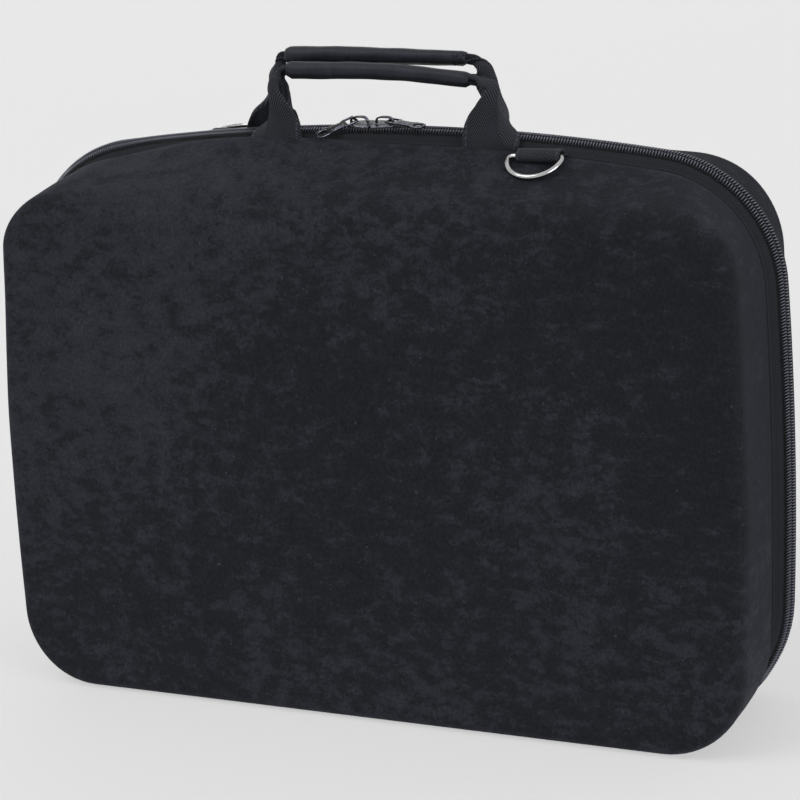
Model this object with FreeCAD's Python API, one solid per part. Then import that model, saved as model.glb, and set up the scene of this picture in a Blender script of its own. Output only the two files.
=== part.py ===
import FreeCAD, Part
import math
import os

from FreeCAD import Vector

# A hard-shell carrying bag for a game console. It stands upright on its hinge side.
# X runs to the right, Y from front to back, Z up, with the origin on the floor under
# the middle of the seam. The rear half is built as a front half and turned half round about Z.
# Its shell has steeper walls than the front one.

# Rim of a shell, the edge that the zipper is sewn to
rim_half_width = 213.5
rim_height = 305.0
rim_side_bow = 4.5
rim_widest = 105.0
rim_top_bow = 20.5
rim_top_corner = 61.0
rim_bottom_corner = 54.0
rim_depth = 12.5

# Shoulder of the front shell, where its walls turn into the flat face
shoulder_half_width = 211.5
shoulder_height = 280.5
shoulder_side_bow = 5.0
shoulder_widest = 105.0
shoulder_top_bow = 1.0
shoulder_top_corner = 36.0
shoulder_bottom_corner = 46.0

# Shoulder of the rear shell, where it differs
rear_shoulder_half_width = 208.5
rear_shoulder_height = 300.8
rear_shoulder_top_bow = 9.0
rear_shoulder_top_corner = 45.0

# Both shells
shell_depth = 56.0
face_rounding = 11.0
outer_rounding_steps = 2
inner_rounding_steps = 1
wall = 4.5
foot_trim = 0.6

# Zipper crest, the line where the two tapes meet
crest_side_rise = 4.5
crest_top_rise = 5.6
crest_bottom_rise = 3.0
crest_widest = 85.0
crest_top_corner = 69.0
crest_bottom_corner = 60.0
tape_thickness = 0.9
tape_flat = 4.9
tape_inset = 1.5
chain_gap = 1.2
coil_width = 3.0
coil_height = 1.8

# Cloth hinge along the bottom, between the ends of the zipper
hinge_half_length = 150.0
hinge_thickness = 1.2
hinge_floor_gap = 0.6
hinge_clearance = 0.4

# Sliders, back to back on top of the bag, and their pulls
sliders_meet_x = -4.0
slider_length = 13.0
slider_head_width = 11.0
slider_tail_width = 7.5
slider_plate = 1.0
slider_gap = 0.6
slider_running_clearance = 0.4
slider_web = 0.6
slider_web_length = 3.0
slider_flange = 1.3
slider_corner = 1.5
bail_width = 2.0
bail_thickness = 1.0
bail_start = 2.0
bail_end = 12.2
bail_room = 3.2
pull_length = 23.0
pull_width = 7.0
pull_thickness = 1.4
pull_eye = 4.6
pull_eye_width = 5.4
pull_bar_clearance = 0.95
pull_hole_radius = 1.7
pull_panel_depth = 0.3
pull_corner = 2.2
left_pull_turn = 28.0
left_pull_droop = 10.0
right_pull_turn = -15.0
right_pull_droop = 6.0

# Handles of webbing with a rolled grip
handle_span = 122.0
handle_stagger = 4.0
webbing_width = 30.0
webbing_thickness = 2.2
webbing_seat = 6.0
webbing_rise = 14.0
leg_depth = 15.5
leg_gather_height = 22.0
leg_gather_width = 19.0
leg_gather_thickness = 5.0
leg_neck_drop = 9.0
leg_neck_width = 11.0
leg_elbow_reach = 6.3
leg_elbow_width = 8.5
core_width = 5.0
grip_length = 103.0
grip_radius = 4.6
grip_clearance = 0.2
grip_depth = 8.0
front_grip_rise = 29.4
rear_grip_rise = 36.4

# D-rings in their webbing tabs
ring_x = 96.0
ring_inner_width = 26.0
ring_inner_depth = 12.2
ring_wire = 3.2
ring_clearance = 0.25
tab_width = 25.0
tab_thickness = 3.2
tab_sink = 2.0
tab_layer = 1.6
tab_reach = 4.5
tab_start = 1.8
ring_lift = 0.6
ring_droop = 2.0

# Mesh pocket inside the front half
pocket_half_width = 165.0
pocket_bottom = 22.0
pocket_height = 150.0
pocket_stand_off = 9.0
mesh_thickness = 0.8
binding_width = 8.0
binding_corner = 12.0

# Hold-down straps inside the rear half
strap_x = 95.0
strap_width = 38.0
strap_thickness = 1.5
strap_bottom = 30.0
strap_top = 250.0
strap_lap_bottom = 105.0
strap_lap_top = 175.0
strap_lap_thickness = 1.8

X, Y, Z = Vector(1, 0, 0), Vector(0, 1, 0), Vector(0, 0, 1)
ORIGIN = Vector(0, 0, 0)
HALF_TURN = 180.0
HAIR = 1e-3
QUARTER_TURN = math.pi / 2


# Round-cornered outlines with bowed sides and a bowed top

def circles_meet(first, first_radius, second, second_radius, towards):
    """The meeting point of two circles in the X-Z plane that lies furthest along a direction."""
    apart = second - first
    along = (first_radius ** 2 - second_radius ** 2 + apart.Length ** 2) / (2 * apart.Length)
    aside = math.sqrt(first_radius ** 2 - along ** 2)
    step = Vector(apart).normalize()
    across = Vector(-step.z, 0, step.x)
    found = [first + step * along + across * (sign * aside) for sign in (1, -1)]
    return max(found, key=lambda point: point.dot(towards))


class Outline:
    """A closed outline in the X-Z plane: flat bottom, sides bowed out to a widest place, bowed top."""

    def __init__(self, half_width, widest, bottom, top, side_bow, top_bow, top_corner, bottom_corner):
        self.sizes = (half_width, widest, bottom, top, side_bow, top_bow, top_corner, bottom_corner)
        half_height = (top - bottom) / 2
        self.bottom = bottom
        self.side_radius = (half_height ** 2 + side_bow ** 2) / (2 * side_bow)
        self.top_radius = (half_width ** 2 + top_bow ** 2) / (2 * top_bow)
        self.side = Vector(half_width - self.side_radius, 0, widest)
        self.top = Vector(0, 0, top - self.top_radius)
        self.top_corner = top_corner
        self.bottom_corner = bottom_corner
        self.upper = circles_meet(
            self.side, self.side_radius - top_corner,
            self.top, self.top_radius - top_corner, X + Z)
        reach = self.side_radius - bottom_corner
        drop = bottom + bottom_corner - widest
        self.lower = Vector(self.side.x + math.sqrt(reach ** 2 - drop ** 2), 0, bottom + bottom_corner)

    def height_at(self, x, offset=0.0):
        """Height of the top bow at a place along X."""
        return self.top.z + math.sqrt((self.top_radius + offset) ** 2 - x ** 2)

    def wire(self, y, offset=0.0):
        """The outline at a depth, moved outwards by an offset."""
        lower_radius = self.bottom_corner + offset
        upper_radius = self.top_corner + offset
        out_low = (self.lower - self.side).normalize()
        out_high = (self.upper - self.side).normalize()
        out_top = (self.upper - self.top).normalize()
        bottom_end = self.lower - Z * lower_radius
        side_start = self.lower + out_low * lower_radius
        side_end = self.upper + out_high * upper_radius
        top_start = self.upper + out_top * upper_radius
        lower_middle = self.lower + (out_low - Z).normalize() * lower_radius
        upper_middle = self.upper + (out_high + out_top).normalize() * upper_radius
        side_middle = self.side + (out_low + out_high).normalize() * (self.side_radius + offset)
        top_middle = self.top + Z * (self.top_radius + offset)

        def right(point):
            return Vector(point.x, y, point.z)

        def left(point):
            return Vector(-point.x, y, point.z)

        def arc(first, middle, last):
            return Part.Arc(first, middle, last).toShape()

        return Part.Wire([
            Part.makeLine(left(bottom_end), right(bottom_end)),
            arc(right(bottom_end), right(lower_middle), right(side_start)),
            arc(right(side_start), right(side_middle), right(side_end)),
            arc(right(side_end), right(upper_middle), right(top_start)),
            arc(right(top_start), right(top_middle), left(top_start)),
            arc(left(top_start), left(upper_middle), left(side_end)),
            arc(left(side_end), left(side_middle), left(side_start)),
            arc(left(side_start), left(lower_middle), left(bottom_end)),
        ])


rim = Outline(
    rim_half_width, rim_widest, -foot_trim, rim_height, rim_side_bow, rim_top_bow,
    rim_top_corner, rim_bottom_corner)
front_shoulder = Outline(
    shoulder_half_width, shoulder_widest, -foot_trim, shoulder_height, shoulder_side_bow,
    shoulder_top_bow, shoulder_top_corner, shoulder_bottom_corner)
rear_shoulder = Outline(
    rear_shoulder_half_width, shoulder_widest, -foot_trim, rear_shoulder_height, shoulder_side_bow,
    rear_shoulder_top_bow, rear_shoulder_top_corner, shoulder_bottom_corner)
crest = Outline(
    rim_half_width + crest_side_rise, crest_widest, crest_bottom_rise, rim_height + crest_top_rise,
    rim_side_bow, rim_top_bow, crest_top_corner, crest_bottom_corner)


def loft(*wires):
    """A solid with straight rulings through matching wires."""
    return Part.makeLoft(list(wires), True, True)


def slab(outline, near, far, offset=0.0):
    """An outline pushed from one depth to another."""
    return Part.Face(outline.wire(near, offset)).extrude(Y * (far - near))


def box(x, y, z):
    """A box from three pairs of limits."""
    size = [high - low for low, high in (x, y, z)]
    return Part.makeBox(*size, Vector(x[0], y[0], z[0]))


def half_round(shape):
    """The same piece on the other half of the bag."""
    turned = shape.copy()
    turned.rotate(ORIGIN, Z, HALF_TURN)
    return turned


def save(name, shape):
    """Writes one piece as a closed shape with its joined faces merged."""
    shape.removeSplitter().exportStep(os.path.join("parts", name + ".step"))


# Moulded shells

shoulder_depth = shell_depth - face_rounding


def shell_body(shoulder, offset, steps):
    """A shell's filled form up to its shoulder and face, moved outwards, its face edge rounded in steps."""
    rounding = face_rounding + offset
    waist = Outline(*[(low + high) / 2 for low, high in zip(rim.sizes, shoulder.sizes)])
    sections = [rim.wire(-rim_depth, offset), waist.wire(-(rim_depth + shoulder_depth) / 2, offset)]
    for step in range(steps + 1):
        turn = QUARTER_TURN * step / steps
        inset = rounding * (1 - math.cos(turn))
        sections.append(shoulder.wire(-shoulder_depth - rounding * math.sin(turn), offset - inset))
    return loft(*sections)


def shell_outside(shoulder):
    """The outside of a shell, pressed flat where it stands on the floor."""
    below = box((-rim_half_width, rim_half_width), (-shell_depth, 0), (-rim_height, 0))
    return shell_body(shoulder, 0.0, outer_rounding_steps).cut(below)


def shell(shoulder, outer):
    """A shell: a moulded wall of even thickness, open at its rim."""
    return outer.cut(shell_body(shoulder, -wall, inner_rounding_steps))


# Zipper

def zipper_zone():
    """Everything but the stretch of seam that the cloth hinge takes."""
    reach = 2 * rim_half_width
    top = 2 * rim_height
    low = crest_bottom_corner / 2
    zone = box((-reach, reach), (-shell_depth, shell_depth), (-rim_height, top))
    return zone.cut(box(
        (-hinge_half_length, hinge_half_length), (-shell_depth, shell_depth), (-rim_height, low)))


def zipper_tape(zone):
    """The front tape: it flares from inside the rim up to the crest and runs flat to the chain."""
    bend = -(chain_gap / 2 + tape_flat)
    chain = -chain_gap / 2

    def filled(offset):
        flare = loft(rim.wire(-rim_depth, offset - tape_inset), crest.wire(bend, offset))
        return flare.fuse(slab(crest, bend, chain, offset))

    return filled(0.0).cut(filled(-tape_thickness)).common(zone)


def zipper_coil(zone):
    """The front row of the chain, sewn on the flat of the tape."""
    chain = -chain_gap / 2
    outer = chain - coil_width
    return slab(crest, outer, chain, coil_height).cut(slab(crest, outer, chain)).common(zone)


def hinge_strip():
    """The cloth strip that joins the two rims along the bottom."""
    half = hinge_half_length - hinge_clearance
    return box((-half, half), (-rim_depth, rim_depth),
               (hinge_floor_gap, hinge_floor_gap + hinge_thickness))


# Sliders, built on top of the crest with the tail towards +X and turned into place

crest_top = rim_height + crest_top_rise
slider_floor = crest_top + coil_height + slider_running_clearance
slider_deck = slider_floor + slider_plate
pull_bar_height = slider_deck + bail_room - pull_thickness / 2 - pull_bar_clearance
pull_bar_reach = bail_end - bail_thickness - pull_thickness / 2 - pull_bar_clearance
slider_seat_angle = math.degrees(sliders_meet_x / crest.top_radius)


def slider_plan(height, thickness, shrink):
    """A slider plate: wide at the head, narrower at the tail, with its corners cut off."""
    head = slider_head_width / 2 - shrink
    tail = slider_tail_width / 2 - shrink
    start = slider_gap / 2
    end = start + slider_length
    corners = [(start, -head), (end, -tail), (end, tail), (start, head), (start, -head)]
    outline = Part.makePolygon([Vector(x, y, height) for x, y in corners])
    plate = Part.Face(outline).extrude(Z * thickness)
    upright = [edge for edge in plate.Edges if edge.BoundBox.ZLength > thickness / 2]
    return plate.makeChamfer(slider_corner, upright)


def slider():
    """Two plates joined by a web between the coils, with one side lip and a bail on top."""
    start = slider_gap / 2
    under = crest_top - tape_thickness - slider_running_clearance
    top_plate = slider_plan(slider_floor, slider_plate, 0.0)
    bottom_plate = slider_plan(under - slider_plate, slider_plate, slider_flange)
    web = box((start, start + slider_web_length), (-slider_web / 2, slider_web / 2),
              (under - slider_plate, slider_deck))
    inner = chain_gap / 2 + coil_width + slider_running_clearance
    lip = slider_plan(crest_top + slider_running_clearance, slider_floor - crest_top, 0.0).common(
        box((start, start + slider_length), (-slider_head_width, -inner), (0, slider_deck)))
    arch = box((start + bail_start, start + bail_end), (-bail_width / 2, bail_width / 2),
               (slider_deck, slider_deck + bail_room + bail_thickness))
    crossing = [edge for edge in arch.Edges
                if edge.BoundBox.YLength > bail_width / 2 and edge.BoundBox.ZMin > slider_deck]
    arch = arch.makeChamfer(bail_room / 2, crossing)
    room = box((start + bail_start + bail_thickness, start + bail_end - bail_thickness),
               (-bail_width, bail_width), (slider_deck, slider_deck + bail_room))
    return top_plate.fuse([bottom_plate, web, lip, arch.cut(room)])


def pull():
    """A flat pull along +X from its bar at the origin, with an eye for the bail and a hole at the end."""
    half = pull_width / 2
    level = pull_thickness / 2
    plate = box((0, pull_length), (-half, half), (-level, level))
    upright = [edge for edge in plate.Edges
               if edge.BoundBox.ZLength > level and edge.BoundBox.XMin > pull_eye]
    plate = plate.makeChamfer(pull_corner, upright)
    eye = box((level, level + pull_eye), (-pull_eye_width / 2, pull_eye_width / 2), (-half, half))
    hole = Part.makeCylinder(pull_hole_radius, pull_width, Vector(pull_length - half, 0, -half))
    panel_start = 2 * level + pull_eye
    panel_end = pull_length - half - 2 * pull_hole_radius
    panel_half = half - pull_thickness
    panels = [box((panel_start, panel_end), (-panel_half, panel_half),
                  (side - pull_panel_depth, side + pull_panel_depth)) for side in (-level, level)]
    bar = Part.makeCylinder(level, pull_width, Vector(0, -half, 0), Y)
    return plate.cut([eye, hole] + panels).fuse(bar)


def seated(shape):
    """A slider piece turned from the top of the crest to where the sliders meet."""
    placed = shape.copy()
    placed.rotate(crest.top, Y, slider_seat_angle)
    return placed


def placed_pull(side, turn, droop):
    """A pull hung in its bail: side is 1 for right and -1 for left, turned to the front and drooping."""
    piece = pull()
    piece.rotate(ORIGIN, Y, droop)
    if side < 0:
        piece = piece.mirror(ORIGIN, X)
    piece.rotate(ORIGIN, Z, turn)
    piece.translate(Vector(side * (slider_gap / 2 + pull_bar_reach), 0, pull_bar_height))
    return seated(piece)


# Handles

def strap_section(centre, wide, width, thickness):
    """The four corners of a strap's section, flat along a direction and thick along Y."""
    across, deep = wide * (width / 2), Y * (thickness / 2)
    return [centre + across + deep, centre - across + deep, centre - across - deep, centre + across - deep]


def flat_sided(sections):
    """A solid with flat sides through four-cornered sections."""
    rings = [sections[0], sections[-1]]
    for near, far in zip(sections, sections[1:]):
        rings += [[near[i - 1], near[i], far[i], far[i - 1]] for i in range(len(near))]
    return Part.Solid(Part.Shell([Part.Face(Part.makePolygon(ring + ring[:1])) for ring in rings]))


def handle_webbing(rise, outer):
    """The front handle's strap: flat where it is sewn on, gathered to a neck, rolled through the grip."""
    end = grip_length / 2
    leg_x = handle_span / 2
    base = rim.height_at(leg_x)
    height = crest_top + rise
    neck = Vector(leg_x, -grip_depth, height - leg_neck_drop)
    gather = Vector(leg_x, -(leg_depth + grip_depth) / 2, base + leg_gather_height)
    slant = (Z - X).normalize()
    leg = flat_sided([
        strap_section(Vector(leg_x, -leg_depth, base - webbing_seat), X, webbing_width, webbing_thickness),
        strap_section(Vector(leg_x, -leg_depth, base + webbing_rise), X, webbing_width, webbing_thickness),
        strap_section(gather, X, leg_gather_width, leg_gather_thickness),
        strap_section(neck, X, leg_neck_width, core_width),
        strap_section(neck + slant * leg_elbow_reach, (X + Z).normalize(), leg_elbow_width, core_width),
        strap_section(Vector(end, -grip_depth, height), Z, core_width, core_width),
    ])
    core = flat_sided([
        strap_section(Vector(x, -grip_depth, height), Z, core_width, core_width) for x in (-end, end)])
    strap = core.fuse([leg, leg.mirror(ORIGIN, X)])
    strap.translate(X * handle_stagger)
    return strap.cut(outer)


def handle_grip(rise):
    """The front handle's grip: a tube rolled round the strap."""
    height = crest_top + rise
    start = handle_stagger - grip_length / 2
    tube = Part.makeCylinder(grip_radius, grip_length, Vector(start, -grip_depth, height), X)
    room = core_width / 2 + grip_clearance
    return tube.cut(box((start, start + grip_length), (-grip_depth - room, room - grip_depth),
                        (height - room, height + room)))


# D-rings, built lying along -Y from the rim and tilted onto the shell's slope

bar_reach = tab_start + tab_reach
bar_lift = ring_wire / 2 + ring_clearance + tab_layer + ring_lift


def slope_angle(shoulder):
    """How steeply a shell's top falls from the rim to its shoulder."""
    drop = rim.height_at(ring_x) - shoulder.height_at(ring_x)
    return math.degrees(math.atan2(drop, shoulder_depth - rim_depth))


def on_slope(shape, shoulder):
    """A piece tilted from the flat onto a shell's top."""
    placed = shape.copy()
    placed.rotate(ORIGIN, X, slope_angle(shoulder))
    placed.translate(Vector(ring_x, -rim_depth, rim.height_at(ring_x)))
    return placed


def ring_tab(shoulder, outer):
    """A folded webbing tab: a flat tongue sewn at the rim, and a loop round the ring's bar."""
    half = tab_width / 2
    bore = ring_wire / 2 + ring_clearance
    loop = Part.makeCylinder(bore + tab_layer, tab_width, Vector(-half, -bar_reach, bar_lift), X)
    tongue = box((-half, half), (-bar_reach, -tab_start), (-tab_sink, tab_thickness))
    hole = Part.makeCylinder(bore, tab_width, Vector(-half, -bar_reach, bar_lift), X)
    return on_slope(tongue.fuse(loop).cut(hole), shoulder).cut(outer)


def d_ring(shoulder):
    """A ring with a round bar, and two short sides and a half round of square wire."""
    radius = ring_wire / 2
    inner = ring_inner_width / 2
    outer = inner + ring_wire
    side = ring_inner_depth + radius - inner

    def bow(half_width):
        return Part.Arc(Vector(-half_width, -side, -radius), Vector(0, -side - half_width, -radius),
                        Vector(half_width, -side, -radius)).toShape()

    def line(first_x, first_y, last_x, last_y):
        return Part.makeLine(Vector(first_x, first_y, -radius), Vector(last_x, last_y, -radius))

    outline = Part.Wire([
        line(-inner, radius, -outer, radius), line(-outer, radius, -outer, -side), bow(outer),
        line(outer, -side, outer, radius), line(outer, radius, inner, radius),
        line(inner, radius, inner, -side), bow(inner), line(-inner, -side, -inner, radius)])
    bar = Part.makeCylinder(radius, 2 * inner, Vector(-inner, 0, 0), X)
    ring = Part.Face(outline).extrude(Z * ring_wire).fuse(bar)
    ring.rotate(ORIGIN, X, ring_droop)
    ring.translate(Vector(0, -bar_reach, bar_lift))
    return on_slope(ring, shoulder)


# Inside of the bag

inner_face = shell_depth - wall


def pocket_binding():
    """The bound edge of the front half's pocket, open at the top, sewn to the lining."""
    outer = box((-pocket_half_width, pocket_half_width), (-inner_face, -inner_face + pocket_stand_off),
                (pocket_bottom, pocket_bottom + pocket_height))
    inner = box((-pocket_half_width + binding_width, pocket_half_width - binding_width),
                (-shell_depth, shell_depth), (pocket_bottom + binding_width, rim_height))
    lower = [edge for edge in outer.Edges
             if edge.BoundBox.YLength > HAIR and edge.BoundBox.ZMax < pocket_bottom + HAIR]
    return outer.makeFillet(binding_corner, lower).cut(inner)


def mesh_pocket():
    """The pocket's net, stretched over the bound edge, with a thicker elastic top hem."""
    near = -inner_face + pocket_stand_off
    top = pocket_bottom + pocket_height
    net = box((-pocket_half_width, pocket_half_width), (near, near + mesh_thickness), (pocket_bottom, top))
    lower = [edge for edge in net.Edges
             if edge.BoundBox.YLength > HAIR and edge.BoundBox.ZMax < pocket_bottom + HAIR]
    net = net.makeFillet(binding_corner, lower)
    hem = box((-pocket_half_width, pocket_half_width), (near, near + 2 * mesh_thickness),
              (top - binding_width, top))
    return net.fuse(hem)


def hold_down_strap(x):
    """A strap that lies on the rear half's lining, lapped and closed on itself in the middle."""
    sides = (x - strap_width / 2, x + strap_width / 2)
    under = inner_face - strap_thickness
    strap = box(sides, (under, inner_face), (strap_bottom, strap_top))
    lap = box(sides, (under - strap_lap_thickness, under), (strap_lap_bottom, strap_lap_top))
    return strap.fuse(lap)


def save_half(side, shoulder, grip_rise, zone, placed):
    """Builds the pieces that each half has, in the front half's place, and saves them where they go."""
    outer = shell_outside(shoulder)
    pieces = {
        "shell": shell(shoulder, outer),
        "zipper_tape": zipper_tape(zone),
        "zipper_coil": zipper_coil(zone),
        "handle_webbing": handle_webbing(grip_rise, outer),
        "handle_grip": handle_grip(grip_rise),
        "ring_tab": ring_tab(shoulder, outer),
        "d_ring": d_ring(shoulder),
    }
    for name, shape in pieces.items():
        save(side + "_" + name, placed(shape))


def build():
    os.makedirs("parts", exist_ok=True)
    zone = zipper_zone()
    save_half("front", front_shoulder, front_grip_rise, zone, Part.Shape.copy)
    save_half("rear", rear_shoulder, rear_grip_rise, zone, half_round)
    save("hinge_strip", hinge_strip())
    save("right_slider", seated(slider()))
    save("left_slider", seated(slider().mirror(ORIGIN, X)))
    save("right_pull", placed_pull(1, right_pull_turn, right_pull_droop))
    save("left_pull", placed_pull(-1, left_pull_turn, left_pull_droop))
    save("mesh_pocket", mesh_pocket())
    save("pocket_binding", pocket_binding())
    save("left_hold_down_strap", hold_down_strap(-strap_x))
    save("right_hold_down_strap", hold_down_strap(strap_x))


build()
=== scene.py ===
import math

import bmesh
import bpy
import numpy as np
from mathutils import Matrix, Vector


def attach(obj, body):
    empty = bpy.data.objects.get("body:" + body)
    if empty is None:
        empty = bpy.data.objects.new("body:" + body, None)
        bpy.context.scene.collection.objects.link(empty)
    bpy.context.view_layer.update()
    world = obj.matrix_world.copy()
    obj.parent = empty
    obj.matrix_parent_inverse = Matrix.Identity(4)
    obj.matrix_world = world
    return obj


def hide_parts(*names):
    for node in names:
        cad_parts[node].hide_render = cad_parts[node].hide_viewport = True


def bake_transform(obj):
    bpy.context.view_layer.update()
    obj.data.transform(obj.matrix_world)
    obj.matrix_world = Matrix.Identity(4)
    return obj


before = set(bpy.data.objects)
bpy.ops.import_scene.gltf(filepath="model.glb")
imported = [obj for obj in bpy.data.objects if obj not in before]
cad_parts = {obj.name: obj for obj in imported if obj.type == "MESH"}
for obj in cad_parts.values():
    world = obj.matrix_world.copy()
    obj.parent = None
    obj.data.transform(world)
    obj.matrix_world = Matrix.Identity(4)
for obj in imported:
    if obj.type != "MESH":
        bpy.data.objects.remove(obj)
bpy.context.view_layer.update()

# A console carrying bag: crushed velvet shells, coil zipper, webbing handles with rolled
# grips, strap rings, and its inside. Sizes are in millimetres. A side of 1 is the front or
# the right, and a side of -1 the rear or the left.

MM = 0.001
rng = np.random.default_rng(11)

# Main sizes, most of them as in the CAD source
RIM_DEPTH = 12.5
SHELL_DEPTH = 56.0
FACE_ROUNDING = 11.0
WALL = 4.5
SHOULDER_DEPTH = SHELL_DEPTH - FACE_ROUNDING
INNER_FACE = SHELL_DEPTH - WALL
FOOT_TRIM = 0.6
HINGE_HALF = 150.0
CHAIN_MIDDLE = -0.9
CHAIN_TILT = math.radians(15.3)
CHAIN_SINK = 0.4
CREST_TOP = 310.6
SLIDERS_MEET = -4.0
SLIDER_FLOOR = CREST_TOP + 2.2
SLIDER_DECK = SLIDER_FLOOR + 1.0
PULL_BAR_X = 9.85
PULL_BAR_Z = SLIDER_DECK + 1.55
HANDLE_HALF_SPAN = 61.0
HANDLE_STAGGER = 4.0
GRIP_HALF = 51.5
GRIP_DEPTH = 8.0
RING_X = 96.0
RING_HALF = 14.6
RING_WIRE = 1.35
RING_SIDE = 0.8
BAR_REACH = 6.3
BAR_LIFT = 4.05
POCKET_HALF = 165.0
POCKET_BOTTOM = 22.0
POCKET_TOP = 172.0
POCKET_FACE = 42.5


# Names

def half_name(side):
    return "front" if side > 0 else "rear"


def end_name(side):
    return "right" if side > 0 else "left"


# Meshes

SPLINE_STEPS = 24
MERGE_METRES = 1e-6


def smoothstep(value, low, high):
    """0 at low, 1 at high and smooth between."""
    share = np.clip((np.asarray(value, float) - low) / (high - low), 0, 1)
    return share * share * (3 - 2 * share)


def link(name, data):
    """A new object in the scene."""
    made = bpy.data.objects.new(name, data)
    bpy.context.scene.collection.objects.link(made)
    return made


def face_outwards(mesh, merge=0.0):
    """Turns a mesh's faces outwards, after joining points that are closer than merge."""
    work = bmesh.new()
    work.from_mesh(mesh)
    if merge:
        bmesh.ops.remove_doubles(work, verts=work.verts, dist=merge)
    bmesh.ops.recalc_face_normals(work, faces=work.faces)
    work.to_mesh(mesh)
    work.free()


def make_object(name, points, faces, uv=None):
    """A smooth mesh object from points, with an optional UV for each of them."""
    mesh = bpy.data.meshes.new(name)
    mesh.from_pydata((np.asarray(points, float) * MM).tolist(), [], faces)
    if uv is not None:
        layer = mesh.uv_layers.new(name="weave")
        index = np.empty(len(mesh.loops), int)
        mesh.loops.foreach_get("vertex_index", index)
        layer.data.foreach_set("uv", (np.asarray(uv, float) * MM)[index].astype(np.float32).ravel())
    face_outwards(mesh)
    mesh.polygons.foreach_set("use_smooth", [True] * len(mesh.polygons))
    return link(name, mesh)


def tube_faces(rows, columns, closed=False):
    """Quads between closed rows of points, and then a cap at each end unless the run is closed."""
    faces = []
    for row in range(rows if closed else rows - 1):
        below = (row + 1) % rows
        for column in range(columns):
            after = (column + 1) % columns
            faces.append((row * columns + column, row * columns + after,
                          below * columns + after, below * columns + column))
    if not closed:
        faces += [tuple(range(columns)), tuple(range((rows - 1) * columns, rows * columns))]
    return faces


def skin(name, rings, uv=None, closed=False):
    """A tube of skin over closed rings of points."""
    rings = np.asarray(rings, float)
    uv = None if uv is None else np.asarray(uv, float).reshape(-1, 2)
    return make_object(name, rings.reshape(-1, 3), tube_faces(*rings.shape[:2], closed), uv)


def lengths(points):
    """Running length along a line of points."""
    return np.concatenate([[0], np.cumsum(np.linalg.norm(np.diff(points, axis=0), axis=1))])


def smooth_path(points, count):
    """An even run of points on a smooth line through some points."""
    points = np.asarray(points, float)
    padded = np.vstack([2 * points[0] - points[1], points, 2 * points[-1] - points[-2]])
    t = np.linspace(0, 1, SPLINE_STEPS, endpoint=False)[:, None]
    dense = []
    for i in range(len(points) - 1):
        a, b, c, d = padded[i:i + 4]
        dense.append(0.5 * (2 * b + (c - a) * t + (2 * a - 5 * b + 4 * c - d) * t ** 2
                            + (3 * b - a - 3 * c + d) * t ** 3))
    dense = np.vstack(dense + [points[-1:]])
    along = lengths(dense)
    even = np.linspace(0, along[-1], count)
    return np.column_stack([np.interp(even, along, dense[:, axis]) for axis in range(3)])


def frames(path, across, closed=False):
    """Two cross directions carried along a path without twisting."""
    if closed:
        tangent = np.roll(path, -1, axis=0) - np.roll(path, 1, axis=0)
    else:
        tangent = np.gradient(path, axis=0)
    tangent /= np.linalg.norm(tangent, axis=1)[:, None]
    first = np.asarray(across, float)
    wide = []
    for direction in tangent:
        first = first - direction * first.dot(direction)
        first = first / np.linalg.norm(first)
        wide.append(first)
    return np.array(wide), np.cross(tangent, wide)


def sweep(name, path, section, across, closed=False, places=None):
    """A section, points across and up, swept along a path; places are its points' UV across."""
    path = np.asarray(path, float)
    section = np.asarray(section, float)
    wide, thick = frames(path, across, closed)
    rings = path[:, None] + wide[:, None] * section[None, :, :1] + thick[:, None] * section[None, :, 1:]
    if places is None:
        places = lengths(np.vstack([section, section[:1]]))[:-1]
    uv = np.stack(np.meshgrid(lengths(path), places, indexing="ij"), axis=-1)
    return skin(name, rings, uv, closed)


def round_section(radius, count):
    turn = np.linspace(0, 2 * np.pi, count, endpoint=False)
    return np.column_stack([radius * np.cos(turn), radius * np.sin(turn)])


def strap(name, path, across, width, thickness, columns=10):
    """A flat strap with soft edges along a path, with its weave's place across in the UV."""
    half, level = width / 2, thickness / 2
    inner = np.linspace(-half + level, half - level, columns)
    turn = np.linspace(-np.pi / 2, np.pi / 2, 5)[1:-1]
    right = np.column_stack([half - level + level * np.cos(turn), level * np.sin(turn)])
    lower = np.column_stack([inner, np.full(columns, -level)])
    section = np.vstack([lower, right, -lower, -right])
    return sweep(name, path, section, across, places=section[:, 0])


def rounded(corners, radius, steps=5):
    """A flat outline with round corners; radius is one value or one for each corner."""
    corners = np.asarray(corners, float)
    radii = np.broadcast_to(radius, len(corners))
    out = []
    for i, corner in enumerate(corners):
        before = corners[i - 1] - corner
        after = corners[(i + 1) % len(corners)] - corner
        before, after = before / np.linalg.norm(before), after / np.linalg.norm(after)
        half = math.acos(np.clip(before.dot(after), -1, 1)) / 2
        back = radii[i] / math.tan(half)
        start, end = corner + before * back, corner + after * back
        for t in np.linspace(0, 1, steps):
            out.append((1 - t) ** 2 * start + 2 * t * (1 - t) * corner + t ** 2 * end)
    return np.array(out)


def twofold(corners, radius, steps=5):
    """A rounded outline that is the same on both sides of X, from the corners of one side."""
    radii = list(np.broadcast_to(radius, len(corners)))
    return rounded(corners + [(x, -y) for x, y in corners[::-1]], radii + radii[::-1], steps)


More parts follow.
